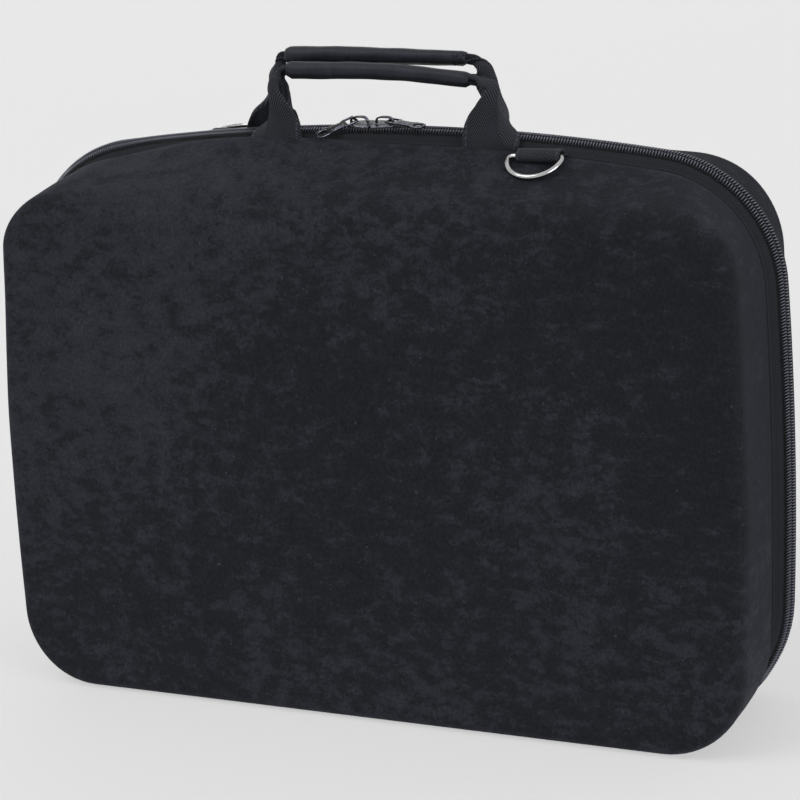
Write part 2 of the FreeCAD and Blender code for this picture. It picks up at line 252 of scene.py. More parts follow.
def plate(name, outlines, low, high, bevel):
    """A flat plate with bevelled edges from an outline and its holes, between two heights."""
    curve = bpy.data.curves.new(name, "CURVE")
    curve.dimensions = "2D"
    curve.fill_mode = "BOTH"
    curve.extrude = ((high - low) / 2 - bevel) * MM
    curve.bevel_depth = bevel * MM
    curve.bevel_resolution = 2
    curve.offset = -bevel * MM
    for outline in outlines:
        spline = curve.splines.new("POLY")
        spline.points.add(len(outline) - 1)
        for point, (x, y) in zip(spline.points, outline):
            point.co = (x * MM, y * MM, 0, 1)
        spline.use_cyclic_u = True
    carrier = link(name + "_curve", curve)
    bpy.context.view_layer.update()
    mesh = bpy.data.meshes.new_from_object(carrier.evaluated_get(bpy.context.evaluated_depsgraph_get()))
    bpy.data.objects.remove(carrier)
    mesh.name = name
    mesh.materials.clear()
    mesh.transform(moved(0, 0, (low + high) / 2))
    face_outwards(mesh, MERGE_METRES)
    return link(name, mesh)


def join(name, pieces):
    """One object from several, each with its points already in place."""
    work = bmesh.new()
    for piece in pieces:
        work.from_mesh(piece.data)
    mesh = bpy.data.meshes.new(name)
    work.to_mesh(mesh)
    work.free()
    smooth = [polygon.use_smooth for piece in pieces for polygon in piece.data.polygons]
    mesh.polygons.foreach_set("use_smooth", smooth)
    for piece in pieces:
        bpy.data.objects.remove(piece)
    return link(name, mesh)


def turned(degrees, axis, about=(0, 0, 0)):
    """A rotation about an axis through a point."""
    place = moved(*about)
    return place @ Matrix.Rotation(math.radians(degrees), 4, axis) @ place.inverted()


def moved(x, y, z):
    return Matrix.Translation((x * MM, y * MM, z * MM))


def mirror(piece):
    """Makes a left piece of a right one."""
    piece.data.transform(Matrix.Diagonal((-1, 1, 1, 1)))
    piece.data.flip_normals()


HALF_ROUND = turned(180, "Z")


def on_half(side, place):
    """A place on the front half, or the one that a half turn gives on the rear half."""
    return place if side > 0 else HALF_ROUND @ place


def settle(piece, body, slot, look, *nodes):
    """Gives a piece its material and its body, and hides the CAD nodes that it stands for; the slot is not
    used.
    """
    if not piece.data.materials:
        piece.data.materials.append(look)
    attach(piece, body)
    if nodes:
        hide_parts(*nodes)


# Outlines across the bag

class Outline:
    """A closed outline: flat bottom, bowed sides and top, tangent corners."""

    def __init__(self, half_width, widest, bottom, top, side_bow, top_bow, top_corner, bottom_corner):
        half_height = (top - bottom) / 2
        side_radius = (half_height ** 2 + side_bow ** 2) / (2 * side_bow)
        top_radius = (half_width ** 2 + top_bow ** 2) / (2 * top_bow)
        side = np.array([half_width - side_radius, widest])
        self.bottom = bottom
        self.top = np.array([0, top - top_radius])
        self.top_radius = top_radius
        apart = self.top - side
        gap = np.linalg.norm(apart)
        first, second = side_radius - top_corner, top_radius - top_corner
        along = (first ** 2 - second ** 2 + gap ** 2) / (2 * gap)
        aside = math.sqrt(first ** 2 - along ** 2)
        step = apart / gap
        found = [side + step * along + np.array([-step[1], step[0]]) * sign * aside for sign in (1, -1)]
        upper = max(found, key=sum)
        reach, drop = side_radius - bottom_corner, bottom + bottom_corner - widest
        lower = np.array([side[0] + math.sqrt(reach ** 2 - drop ** 2), bottom + bottom_corner])
        low = math.atan2(*(lower - side)[::-1])
        high = math.atan2(*(upper - side)[::-1])
        crown = math.atan2(*(upper - self.top)[::-1])
        self.lower = lower
        self.arcs = [(lower, bottom_corner, -math.pi / 2, low, 16), (side, side_radius, low, high, 30),
                     (upper, top_corner, high, crown, 22), (self.top, top_radius, crown, math.pi / 2, 36)]

    def height_at(self, x):
        return self.top[1] + math.sqrt(self.top_radius ** 2 - x ** 2)

    def right_half(self, start_x=0.0, floor_steps=30):
        """Points and outward directions from the bottom round the right side to the top."""
        x = np.linspace(start_x, self.lower[0], floor_steps, endpoint=False)
        points = [np.column_stack([x, np.full(floor_steps, self.bottom)])]
        normals = [np.tile([0.0, -1.0], (floor_steps, 1))]
        for i, (centre, radius, start, end, steps) in enumerate(self.arcs):
            last = i == len(self.arcs) - 1
            turn = np.linspace(start, end, steps + last, endpoint=last)
            out = np.column_stack([np.cos(turn), np.sin(turn)])
            points.append(centre + out * radius)
            normals.append(out)
        return np.vstack(points), np.vstack(normals)

    def ring(self, offset, top_offset=0.0):
        """The whole outline, moved outwards, and further along its top."""
        points, normals = self.right_half()
        upward = np.clip(normals[:, 1:], 0, 1) ** 2
        half = points + normals * (offset + top_offset * upward)
        return np.vstack([half, half[-2:0:-1] * [-1, 1]])

    def open_run(self, start_x=HINGE_HALF):
        """Points and outward directions round the seam, from the hinge's right end to its left end."""
        points, normals = self.right_half(start_x, 4)
        flip = np.array([-1, 1])
        return np.vstack([points, points[-2::-1] * flip]), np.vstack([normals, normals[-2::-1] * flip])


rim = Outline(213.5, 105.0, -FOOT_TRIM, 305.0, 4.5, 20.5, 61.0, 54.0)
front_shoulder = Outline(211.5, 105.0, -FOOT_TRIM, 281.0, 5.0, 1.0, 31.0, 43.0)
rear_shoulder = Outline(208.5, 105.0, -FOOT_TRIM, 301.2, 5.5, 8.0, 50.0, 46.0)
crest = Outline(219.5, 115.0, 3.0, CREST_TOP, 6.5, 20.79, 69.0, 68.0)


def at_depth(flat, depth=0.0):
    """Points across the bag, put at a depth towards the front."""
    return np.column_stack([flat[:, 0], np.full(len(flat), -depth), flat[:, 1]])


# Materials

COOL_SHINE = (0.78, 0.81, 1.0, 1.0)
NAP_TINT = (0.70, 0.75, 1.0, 1.0)
# How much lighter the velvet is painted towards the left and the top, and the offset that centres it: painted
# light
PAINTED_LIGHT_SLOPE = (-0.20, 0.0, 0.09)
PAINTED_LIGHT_SHIFT = 0.0195
RIB_SLOPE = 1.15
YARN_PITCH = 0.75
STITCH_PITCH = 2.6
STITCH_CORE, STITCH_EDGE = 0.28, 0.5
SHADOW_HALF = 0.4


class Nodes:
    """A node tree, with short ways to add and join its nodes."""

    def __init__(self, tree):
        self.tree = tree

    def add(self, kind, settings=None, **inputs):
        """A node; an input is named, or numbered with an underscore before its number."""
        node = self.tree.nodes.new("ShaderNode" + kind)
        for key, value in (settings or {}).items():
            setattr(node, key, value)
        for key, value in inputs.items():
            socket = node.inputs[int(key[1:])] if key[0] == "_" else node.inputs[key.replace("_", " ")]
            if isinstance(value, bpy.types.NodeSocket):
                self.tree.links.new(value, socket)
            else:
                socket.default_value = value
        return node

    def math(self, operation, first, second=0.0):
        return self.add("Math", {"operation": operation}, _0=first, _1=second).outputs[0]

    def plus(self, first, second, weight):
        """A value and a weighted second one."""
        return self.math("ADD", first, self.math("MULTIPLY", second, weight))


class Look(Nodes):
    """A material and its nodes."""

    def __init__(self, name, **values):
        self.material = bpy.data.materials.new(name)
        self.material.use_nodes = True
        super().__init__(self.material.node_tree)
        self.shader = self.tree.nodes["Principled BSDF"]
        for key, value in values.items():
            self.shader.inputs[key.replace("_", " ")].default_value = value

    def mix(self, factor, first, second, blend="MIX"):
        settings = {"data_type": "RGBA", "blend_type": blend}
        return self.add("Mix", settings, Factor=factor, _6=first, _7=second).outputs[2]

    def place(self):
        return self.add("TexCoord").outputs["Object"]

    def weave_place(self):
        """Along and across a woven piece, in metres."""
        node = self.add("SeparateXYZ", Vector=self.add("UVMap", {"uv_map": "weave"}).outputs["UV"])
        return node.outputs["X"], node.outputs["Y"]

    def noise(self, scale, detail=4.0, roughness=0.5, distortion=0.0, vector=None):
        return self.add("TexNoise", Vector=vector or self.place(), Scale=scale, Detail=detail,
                        Roughness=roughness, Distortion=distortion).outputs["Fac"]

    def stretched(self, vector, scale):
        return self.add("Mapping", Vector=vector, Scale=scale).outputs["Vector"]

    def wave(self, run, pitch):
        """A sine along a run, with a pitch in millimetres."""
        return self.math("SINE", self.math("MULTIPLY", run, 2 * math.pi / (pitch * MM)))

    def ramp(self, factor, *stops):
        node = self.add("ValToRGB", Fac=factor)
        while len(node.color_ramp.elements) < len(stops):
            node.color_ramp.elements.new(0.5)
        for element, (position, color) in zip(node.color_ramp.elements, stops):
            element.position = position
            element.color = (*color, 1) if hasattr(color, "__len__") else (color, color, color, 1)
        return node.outputs["Color"]

    def spread(self, factor, low, high):
        """A factor from 0 to 1 mapped to a range."""
        return self.add("MapRange", Value=factor, To_Min=low, To_Max=high).outputs["Result"]

    def bump(self, height, distance, strength=1.0, below=None):
        inputs = {"Height": height, "Distance": distance * MM, "Strength": strength}
        if below is not None:
            inputs["Normal"] = below
        return self.add("Bump", **inputs).outputs["Normal"]

    def finish(self, **sockets):
        for key, value in sockets.items():
            self.tree.links.new(value, self.shader.inputs[key.replace("_", " ")])
        return self.material


def cool(value):
    """A grey with the blue cast of black cloth."""
    return (0.88 * value, 0.93 * value, 1.18 * value)


def velvet(name, tone, sheen):
    """Crushed velvet: torn patches of pile that lie different ways, streaks of pile and specks of lint, with
    painted light that makes it lighter towards the left and the top.
    """
    look = Look(name, Sheen_Weight=sheen, Sheen_Roughness=0.45, Sheen_Tint=NAP_TINT, Specular_IOR_Level=0.1)
    place = look.place()
    broad = look.noise(7.0, 2.0, 0.5, 0.2, place)
    patches = look.noise(74.0, 12.0, 0.80, 0.15, look.stretched(place, (1.0, 1.0, 1.5)))
    streaks = look.noise(640.0, 5.0, 0.78, 0.0, look.stretched(place, (1.0, 1.0, 0.75)))
    painted_light = look.add("VectorMath", {"operation": "DOT_PRODUCT"}, _0=place, _1=PAINTED_LIGHT_SLOPE).outputs["Value"]
    nap_and_light = look.plus(look.math("MULTIPLY", patches, 0.84), broad, 0.28)
    # Painted light: the tone grows towards the left and the top
    nap_and_light = look.math("ADD", nap_and_light, look.math("SUBTRACT", painted_light, PAINTED_LIGHT_SHIFT))
    shade = look.ramp(nap_and_light, (0.45, cool(0.0118 * tone)), (0.55, cool(0.0142 * tone)),
                      (0.578, cool(0.0215 * tone)), (0.72, cool(0.0300 * tone)))
    grain = look.ramp(streaks, (0.32, 0.62), (0.5, 0.96), (0.68, 1.42))
    lint = look.ramp(look.noise(430.0, 2.0, 0.5, 0.0, place), (0.735, 0.0), (0.77, 0.5))
    colour = look.mix(lint, look.mix(1.0, shade, grain, "MULTIPLY"), (*cool(0.085 * tone), 1))
    normal = look.bump(streaks, 0.5, 0.7, look.bump(nap_and_light, 1.3, 0.4))
    return look.finish(Base_Color=colour, Normal=normal, Roughness=look.spread(nap_and_light, 0.8, 0.98))


def lining():
    """The smooth knitted lining of the inside."""
    look = Look("lining", Sheen_Weight=0.2, Sheen_Roughness=0.5, Specular_IOR_Level=0.25)
    knit = look.noise(900.0, 3.0, 0.6)
    soft = look.noise(25.0, 4.0, 0.6)
    return look.finish(Base_Color=look.ramp(soft, (0.3, 0.016), (0.7, 0.026)),
                       Roughness=look.spread(knit, 0.7, 0.92), Normal=look.bump(knit, 0.15, 0.5))


def woven(name, dark, light, pitch, column, stitches=(), sheen=0.04, painted_shade_edge=None):
    """Herringbone webbing: slanting ribs that change sides at each column of yarns, and lines of stitches.

    It has a painted shadow where something covers it, up to a place across."""
    look = Look(name, Sheen_Weight=sheen, Sheen_Roughness=0.4, Specular_IOR_Level=0.14)
    along, across = look.weave_place()
    slant = look.math("PINGPONG", look.math("ADD", across, 1.0), column * MM)
    rib = look.wave(look.plus(along, slant, RIB_SLOPE), pitch)
    yarn = look.wave(across, YARN_PITCH)
    height = look.plus(look.spread(rib, 0.1, 0.8), yarn, 0.12)
    fuzz = look.noise(1800.0, 3.0, 0.7)
    wear = look.noise(60.0, 4.0, 0.6)
    tone = look.plus(look.math("MULTIPLY", height, 0.7), fuzz, 0.3)
    tone = look.plus(tone, wear, 0.25)
    for place in stitches:
        aside = look.math("ABSOLUTE", look.math("SUBTRACT", across, place * MM))
        near = look.add("MapRange", Value=aside, From_Min=STITCH_EDGE * MM, From_Max=STITCH_CORE * MM)
        dash = look.math("GREATER_THAN", look.wave(along, STITCH_PITCH), -0.55)
        thread = look.math("MULTIPLY", near.outputs["Result"], dash)
        height = look.plus(height, thread, 1.1)
        tone = look.plus(tone, thread, 0.35)
    if painted_shade_edge is not None:
        # Painted shadow: the tone falls to black under what covers the weave
        low, high = (painted_shade_edge - SHADOW_HALF) * MM, (painted_shade_edge + SHADOW_HALF) * MM
        shadow = look.add("MapRange", Value=across, From_Min=low, From_Max=high)
        tone = look.math("MULTIPLY", tone, shadow.outputs["Result"])
    colour = look.ramp(tone, (0.0, cool(0.2 * dark)), (0.25, cool(dark)), (0.62, cool((dark + light) / 2.2)),
                       (1.0, cool(light)))
    return look.finish(Base_Color=colour, Roughness=look.spread(fuzz, 0.6, 0.88),
                       Normal=look.bump(height, 0.4, 0.9))


def coil_nylon():
    """Black nylon, with a painted glint that makes the crown of each turn pale; its UV runs from 0 to 1 along
    a turn.
    """
    look = Look("coil_nylon", Specular_IOR_Level=0.5, Specular_Tint=COOL_SHINE)
    speck = look.noise(700.0, 3.0, 0.6)
    share = look.math("MULTIPLY", look.weave_place()[0], 1 / MM)
    # The pale crown of each turn is a painted glint
    dark, pale = cool(0.010), cool(0.135)
    crown = look.ramp(share, (0.28, dark), (0.42, pale), (0.60, pale), (0.74, dark))
    return look.finish(Base_Color=crown, Roughness=look.spread(speck, 0.24, 0.36),
                       Normal=look.bump(speck, 0.05, 0.4))


def black_metal():
    """Black enamel on cast metal, rubbed thin in places."""
    look = Look("black_enamel", Coat_Weight=0.12, Coat_Roughness=0.1, Specular_IOR_Level=0.3)
    cloud = look.noise(420.0, 5.0, 0.6)
    worn = look.ramp(look.noise(900.0, 6.0, 0.7), (0.62, 0.0), (0.74, 1.0))
    colour = look.mix(worn, look.ramp(cloud, (0.3, 0.006), (0.7, 0.014)), (0.06, 0.06, 0.066, 1))
    return look.finish(Base_Color=colour, Metallic=look.spread(worn, 0.0, 0.6),
                       Roughness=look.spread(cloud, 0.12, 0.26), Normal=look.bump(cloud, 0.04, 0.3))


def speckled(name, noise, stops, roughness, relief, **values):
    """A look whose colour, roughness and relief follow one noise."""
    look = Look(name, **values)
    speck = look.noise(*noise)
    return look.finish(Base_Color=look.ramp(speck, *stops), Roughness=look.spread(speck, *roughness),
                       Normal=look.bump(speck, *relief))


def leatherette():
    """Imitation leather: pebbled grain, with creases across the roll."""
    look = Look("leatherette", Specular_IOR_Level=0.26, Specular_Tint=COOL_SHINE, Sheen_Weight=0.03)
    place = look.place()
    pebble = look.add("TexVoronoi", {"feature": "DISTANCE_TO_EDGE"}, Vector=place, Scale=1100.0)
    grain = look.ramp(pebble.outputs["Distance"], (0.02, 0.0), (0.16, 1.0))
    crease = look.noise(260.0, 5.0, 0.6, 0.8, look.stretched(place, (1.0, 0.22, 0.22)))
    normal = look.bump(grain, 0.10, 0.35, look.bump(crease, 0.5, 0.45))
    shade = look.ramp(crease, (0.3, cool(0.0100)), (0.75, cool(0.0210)))
    return look.finish(Base_Color=shade, Roughness=look.spread(crease, 0.34, 0.5), Normal=normal)


# Lit and shaded copies of one velvet: the rear one is darker, with less sheen, as painted shade on the rear
# shell
FRONT_VELVET = velvet("front_velvet", 1.12, 0.05)
REAR_VELVET = velvet("rear_velvet", 0.85, 0.03)
LINING = lining()
WEBBING = woven("handle_webbing", 0.0030, 0.085, 1.5, 7.5, (-13.2, 13.2))
# The tape has a painted shadow under the chain, up to 4.4 mm across from the chain's end
TAPE = woven("zipper_tape", 0.012, 0.042, 0.9, 1.1, (10.4,), 0.02, 4.4)
TAB_WEBBING = woven("ring_webbing", 0.0060, 0.080, 1.5, 7.5, (-10.3, 10.3))
BINDING = woven("binding_tape", 0.007, 0.026, 1.1, 8.0)
ELASTIC = woven("strap_webbing", 0.007, 0.032, 1.4, 2.4, (-17.0, 17.0))
COIL = coil_nylon()
METAL = black_metal()
# The same enamel polished through to the metal along an edge
WORN = speckled("worn_edge", (520.0, 4.0, 0.6), ((0.35, cool(0.09)), (0.62, cool(0.28))), (0.18, 0.34),
                (0.03, 0.3), Metallic=1.0)
CHROME = speckled("chrome", (160.0, 5.0, 0.65, 0.4), ((0.3, 0.38), (0.7, 0.56)), (0.06, 0.2), (0.03, 0.2),
                  Metallic=1.0)
LEATHER = leatherette()
NET = speckled("pocket_net", (1400.0, 3.0, 0.6), ((0.3, 0.012), (0.7, 0.03)), (0.5, 0.8), (0.08, 0.6),
               Sheen_Weight=0.1, Specular_IOR_Level=0.35)


# Shells

BEND_START = 45.0
BEND_INSET = 9.5
TOP_BEND_INSET = 5.0
EDGE_INSET = 0.6
FACE_MIDDLE_Z = 140.0
FACE_CROWN = 0.9
WALL_SWELL = 0.5
FRONT_LIFT = 4.6
WAVE_GAIN = 1.5
# Depth and inset of the lip's points, from the velvet's edge round to the lining
LIP = ((12.0, 0.15), (11.6, 0.7), (11.5, 1.5), (11.7, 2.4), (12.2, 3.4), (12.9, 4.1), (14.0, WALL))
LIP_VELVET = 4

waves = [(rng.normal(size=3), rng.uniform(0, 2 * math.pi)) for _ in range(14)]
wave_sizes = rng.uniform(38, 130, len(waves))


def unevenness(points):
    """Gentle waviness of bonded cloth over foam."""
    total = np.zeros(len(points))
    for (direction, phase), size in zip(waves, wave_sizes):
        direction = direction / np.linalg.norm(direction)
        total += np.sin(points @ direction * 2 * math.pi / size + phase) * size / 90
    return total / len(waves)


def raised(outline, lift):
    """The rim's outline, raised a little left of the middle of its top."""
    x, z = outline[:, 0], outline[:, 1]
    share = smoothstep(-x, -20.0, 75.0) * (1 - smoothstep(-x, 95.0, 165.0)) * smoothstep(z, 220.0, 270.0)
    return np.column_stack([x, z + lift * share])


def shell(side, shoulder, top_inset, lift, look):
    """One moulded half: velvet outside, a rolled lip at the rim, and the lining inside."""
    rings = []

    def add(depth, outline):
        rings.append(at_depth(outline, depth))

    def face(depth, edge, shares, crown):
        middle = np.array([0, FACE_MIDDLE_Z])
        for share in shares:
            add(depth + crown * (1 - share ** 2), middle + (edge - middle) * share)

    def rim_ring(offset):
        return raised(rim.ring(offset), lift)

    # Outside, from the middle of the face to the rim
    edge = shoulder.ring(-EDGE_INSET, -top_inset)
    flat = shoulder.ring(-BEND_INSET, -TOP_BEND_INSET)
    start = (BEND_START - RIM_DEPTH) / (SHELL_DEPTH - RIM_DEPTH)
    wall_end = rim_ring(0.0) * (1 - start) + edge * start
    face(SHELL_DEPTH, flat, np.linspace(0.03, 1, 40), FACE_CROWN)
    for t in np.linspace(1, 0, 14)[1:]:
        bend = (1 - t) ** 2 * wall_end + 2 * t * (1 - t) * edge + t ** 2 * flat
        add(SHELL_DEPTH - (SHELL_DEPTH - BEND_START) * (1 - t) ** 2, bend)
    for share in np.linspace(1, 0, 12)[1:]:
        swell = WALL_SWELL * math.sin(math.pi * share)
        add(RIM_DEPTH + (BEND_START - RIM_DEPTH) * share, rim_ring(swell) * (1 - share) + wall_end * share)
    outside = len(rings)

    # Lip and inside, from the rim to the middle of the lining
    for depth, inset in LIP:
        add(depth, rim_ring(-inset))
    for share in np.linspace(0, 1, 8)[1:]:
        mixed = rim_ring(-WALL) * (1 - share) + shoulder.ring(-WALL) * share
        add(LIP[-1][0] + (SHOULDER_DEPTH - LIP[-1][0]) * share, mixed)
    inner_rounding = FACE_ROUNDING - WALL
    for turn in np.radians(np.linspace(0, 90, 6)[1:]):
        add(SHOULDER_DEPTH + inner_rounding * math.sin(turn),
            shoulder.ring(-WALL - inner_rounding * (1 - math.cos(turn))))
    face(INNER_FACE, shoulder.ring(-FACE_ROUNDING), np.linspace(1, 0.05, 12)[1:], 0.0)

    # Waviness of the outside
    rings = np.array(rings)
    count, size = rings.shape[:2]
    outer = rings[:outside].reshape(-1, 3)
    slopes = np.gradient(rings[:outside], axis=0)
    along = np.roll(rings[:outside], -1, axis=1) - np.roll(rings[:outside], 1, axis=1)
    out = np.cross(slopes, along).reshape(-1, 3)
    out /= np.linalg.norm(out, axis=1)[:, None]
    out *= np.sign((out * (outer - [0, 0, FACE_MIDDLE_Z])).sum(axis=1))[:, None]
    calm = np.repeat(smoothstep(np.arange(outside), outside - 1, outside - 6), size)
    above_floor = smoothstep(outer[:, 2], 2.0, 30.0)
    outer += out * (unevenness(outer) * calm * above_floor * WAVE_GAIN)[:, None]
    points = np.vstack([outer, rings[outside:].reshape(-1, 3)])
    points[:, 2] = np.maximum(points[:, 2], 0)
    if side < 0:
        points = points * [-1, -1, 1]

    # The last two faces are the caps in the middle of the velvet and of the lining
    half = half_name(side)
    made = skin(f"{half}_velvet_shell", points.reshape(count, size, 3))
    made.data.materials.append(look)
    made.data.materials.append(LINING)
    inside_from = (outside + LIP_VELVET) * size
    last = len(made.data.polygons) - 1
    indices = [int(inside_from <= number < last - 1 or number == last) for number in range(last + 1)]
    made.data.polygons.foreach_set("material_index", indices)
    settle(made, f"{half}_half", "velvet", look, f"{half}_shell")


shell(1, front_shoulder, 3.0, FRONT_LIFT, FRONT_VELVET)
shell(-1, rear_shoulder, 0.5, 0.0, REAR_VELVET)


# Zipper

# Depth of each of a tape's lines, its share of the way from the rim to the crest, and its rise
FRONT_TAPE = ((13.6, 0, -4.2), (12.6, 0, -4.1), (11.6, 0.04, -3.7), (10.4, 0.16, -2.9), (9.0, 0.36, -2.0),
              (7.4, 0.66, -1.6), (6.2, 0.88, -1.65), (5.2, 1, -1.58), (4.0, 1, -1.25), (2.6, 1, -0.87),
              (1.2, 1, -0.52), (0.15, 1, -0.3))
REAR_TAPE = ((13.6, 0, -4.2), (12.6, 0, -4.0), (11.6, 0.1, -3.1), (10.4, 0.32, -1.9), (9.0, 0.66, -0.6),
             (7.6, 0.95, 1.3), (6.2, 1, 1.8), (4.8, 1, 1.7), (3.5, 1, 1.1), (1.8, 1, 0.3), (0.0, 1, -0.18))
TAPE_THICKNESS = 0.8
CORNER_TILT = math.radians(15)
CORNER_DROP = 0.9
CORNER_REACH = 4.5
COIL_PITCH = 1.56
# Reach and height of a turn's points from the chain's middle, and the nylon's radius there
TURN_LINE = np.array([(4.25, 0.2), (4.35, 1.0), (3.7, 1.7), (2.3, 1.95), (0.85, 1.9), (-0.1, 1.5),
                      (-0.45, 0.85)])
TURN_RADIUS = (0.22, 0.25, 0.27, 0.29, 0.31, 0.32, 0.27)
TURN_SLANT = 0.45
TURN_SIDES = 6
HINGE_THICKNESS = 1.1
HINGE_Z = 1.35
HINGE_FOLD = 0.35


def at_corner(run):
    """How far each point of the seam belongs to the top left corner, where the chain leans more."""
    return smoothstep(-run[:, 0], 130.0, 172.0) * smoothstep(run[:, 1], 190.0, 250.0)


def tape(side, profile):
    """A woven tape that rises from under the velvet's lip to the chain; the chain leans to the front."""
    low, low_out = rim.open_run()
    high, high_out = crest.open_run()
    if side > 0:
        low = raised(low, FRONT_LIFT)
    corner = at_corner(high)[:, None]
    slope = math.tan(CHAIN_TILT + CORNER_TILT) - math.tan(CHAIN_TILT)
    rows = []
    for depth, share, rise in profile:
        behind = min(-side * depth - CHAIN_MIDDLE, CORNER_REACH)
        rise = rise + share * corner * (behind * slope - CORNER_DROP)
        run = (low + low_out * rise) * (1 - share) + (high + high_out * rise) * share
        rows.append(at_depth(run, side * depth))
    under = [row - at_depth(high_out) * TAPE_THICKNESS for row in rows[::-1]]
    across = lengths(np.array([row[len(row) // 2] for row in rows]))
    across = across[-1] - np.concatenate([across, across[::-1]])
    uv = np.stack(np.meshgrid(lengths(rows[-1]), across, indexing="ij"), axis=-1)
    half = half_name(side)
    made = skin(f"{half}_woven_tape", np.stack(rows + under, axis=1), uv)
    settle(made, f"{half}_half", "tape", TAPE, f"{half}_zipper_tape")


def coil(side):
    """One row of the chain: a turn of the nylon coil at every pitch, the two rows half a turn apart."""
    run, out = crest.open_run(HINGE_HALF + 0.6)
    along = lengths(run)
    middle = along[-1] / 2
    half_count = int((middle - 1.0) / COIL_PITCH)
    stations = middle + (np.arange(-half_count, half_count) + 0.25 * side) * COIL_PITCH
    place = np.column_stack([np.interp(stations, along, run[:, i]) for i in range(2)])
    normal = np.column_stack([np.interp(stations, along, out[:, i]) for i in range(2)])
    normal /= np.linalg.norm(normal, axis=1)[:, None]
    tangent = at_depth(np.column_stack([-normal[:, 1], normal[:, 0]]))
    corner = at_corner(place)[:, None]
    tilt = CHAIN_TILT + CORNER_TILT * corner

    # One turn: places along the chain, forward and up
    steps = np.gradient(TURN_LINE, axis=0)
    steps /= np.linalg.norm(steps, axis=1)[:, None]
    slant = np.linspace(-TURN_SLANT, TURN_SLANT, len(TURN_LINE))
    turn = []
    for (reach, height), (run_y, run_z), radius, skew in zip(TURN_LINE, steps, TURN_RADIUS, slant):
        for aside, up in round_section(radius, TURN_SIDES):
            turn.append((skew + aside, side * (reach - run_z * up), height + run_y * up))
    turn = np.array(turn)

    forward, rise = turn[:, 1], turn[:, 2]
    depth = CHAIN_MIDDLE - forward * np.cos(tilt) - rise * np.sin(tilt)
    height = -CHAIN_SINK - CORNER_DROP * corner - forward * np.sin(tilt) + rise * np.cos(tilt)
    points = (at_depth(place)[:, None] + tangent[:, None] * turn[None, :, :1]
              + np.array([0, 1.0, 0]) * depth[:, :, None] + at_depth(normal)[:, None] * height[:, :, None])
    size = len(turn)
    one = tube_faces(len(TURN_LINE), TURN_SIDES)
    faces = [tuple(index + tooth * size for index in face) for tooth in range(len(stations)) for face in one]
    share = np.repeat(np.linspace(0, 1, len(TURN_LINE)), TURN_SIDES)
    uv = np.tile(np.column_stack([share, np.zeros(size)]), (len(stations), 1))
    half = half_name(side)
    made = make_object(f"{half}_coil_row", points.reshape(-1, 3), faces, uv)
    settle(made, f"{half}_half", "coil", COIL, f"{half}_zipper_coil")


def hinge():
    """The cloth hinge along the bottom, gathered into a shallow fold between the two shells."""
    y = np.linspace(-RIM_DEPTH, RIM_DEPTH, 29)
    path = np.column_stack([np.zeros(len(y)), y, HINGE_Z + HINGE_FOLD * np.cos(y / RIM_DEPTH * math.pi)])
    made = strap("hinge_cloth", path, (1, 0, 0), 2 * HINGE_HALF - 1.0, HINGE_THICKNESS, 60)
    made.data.materials.append(BINDING)
    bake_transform(made)
    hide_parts("hinge_strip")


tape(1, FRONT_TAPE)
tape(-1, REAR_TAPE)
coil(1)
coil(-1)
hinge()


# Sliders and pulls

SLIDER_LEAN = 12.0
LOWER_PLATE_SHARE = 0.76
BAIL_INNER, BAIL_OUTER = 2.6, 11.9
BAIL_HEIGHT = 3.4
BAIL_SUNK = 0.4
BEVEL_STEEPNESS = (0.2, 0.93)
SEAT = turned(math.degrees(SLIDERS_MEET / crest.top_radius), "Y", (0, 0, crest.top[1]))
LEAN = turned(SLIDER_LEAN, "X", (0, 0, PULL_BAR_Z))


def bail():
    """The arch over a slider that its pull turns on."""
    corners = [(BAIL_INNER, -BAIL_SUNK), (BAIL_INNER, BAIL_HEIGHT / 2), (4.4, BAIL_HEIGHT),
               (9.8, BAIL_HEIGHT), (BAIL_OUTER, 1.9), (BAIL_OUTER, -BAIL_SUNK)]
    path = smooth_path([(x, 0, SLIDER_DECK + z) for x, z in corners], 30)
    section = rounded([(-1.0, -0.5), (1.0, -0.5), (1.0, 0.5), (-1.0, 0.5)], 0.38, 4)
    return sweep("bail", path, section, (0, 1, 0))


def wear_edges(piece):
    """Gives the bevels of a cast piece the look of worn edges."""
    piece.data.materials.append(METAL)
    piece.data.materials.append(WORN)
    for polygon in piece.data.polygons:
        polygon.material_index = int(BEVEL_STEEPNESS[0] < abs(polygon.normal.z) < BEVEL_STEEPNESS[1])


def slider(side):
    """A cast slider: two shaped plates, a lip along the front, a raised spine and a bail."""
    upper = twofold([(0.3, -5.5), (4.0, -5.5), (13.3, -3.8)], (1.6, 2.0, 1.6))
    lip = rounded([(0.9, -5.4), (4.0, -5.4), (12.6, -3.9), (12.6, -3.4), (4.0, -4.4), (0.9, -4.4)], 0.2)
    spine = twofold([(1.4, -1.7), (12.7, -1.4)], 0.8)
    end = end_name(side)
    made = join(f"{end}_cast_slider", [
        plate("upper", [upper], SLIDER_FLOOR, SLIDER_DECK, 0.42),
        plate("spine", [spine], SLIDER_DECK - 0.3, SLIDER_DECK + 0.3, 0.22),
        plate("lower", [upper * [1, LOWER_PLATE_SHARE]], CREST_TOP - 2.5, CREST_TOP - 1.3, 0.35),
        plate("lip", [lip], CREST_TOP + 0.45, SLIDER_FLOOR + 0.5, 0.15),
        bail(),
    ])
    wear_edges(made)
    if side < 0:
        mirror(made)
    made.data.transform(SEAT @ LEAN)
    settle(made, f"{end}_slider", "slider", METAL, f"{end}_slider")


